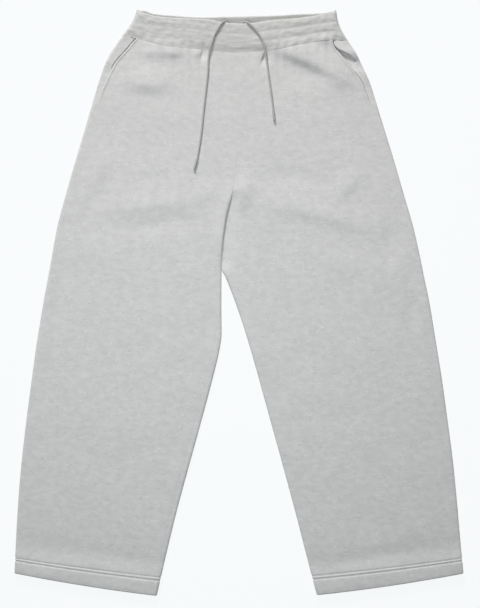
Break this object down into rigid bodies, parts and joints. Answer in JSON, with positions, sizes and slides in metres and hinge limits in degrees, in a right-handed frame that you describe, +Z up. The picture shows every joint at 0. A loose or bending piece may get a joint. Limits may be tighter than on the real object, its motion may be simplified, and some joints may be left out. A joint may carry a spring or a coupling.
{
  "type": "jogger sweatpants",
  "caption": "Wide straight-leg fleece sweatpants laid flat, with an elasticated waistband, a drawcord with two free ends, slanted hand pockets and stitched open hems",
  "frame": {"origin": "centre of the laid-out garment's box on the surface that it lies on", "axes": "+X to the viewer's right with the front side up, +Y from the hems towards the waist, +Z up from the surface"},
  "size_m": [0.776, 1.012, 0.0162],
  "materials": {
    "fleece": "brushed heather grey sweatshirt fleece, matt, with fine light and dark flecks",
    "waistband": "the same heather grey fleece, gathered over elastic",
    "cord": "braided cotton cord, darker grey, matt"
  },
  "bodies": {
    "root": {"front_left": "fleece", "front_right": "fleece", "back_left": "fleece", "back_right": "fleece", "pocket_facing_left": "fleece", "pocket_facing_right": "fleece", "waistband_front": "waistband", "waistband_back": "waistband", "drawcord_left": "cord", "drawcord_right": "cord", "drawcord_tip_left": "cord", "drawcord_tip_right": "cord"}
  },
  "joints": []
}
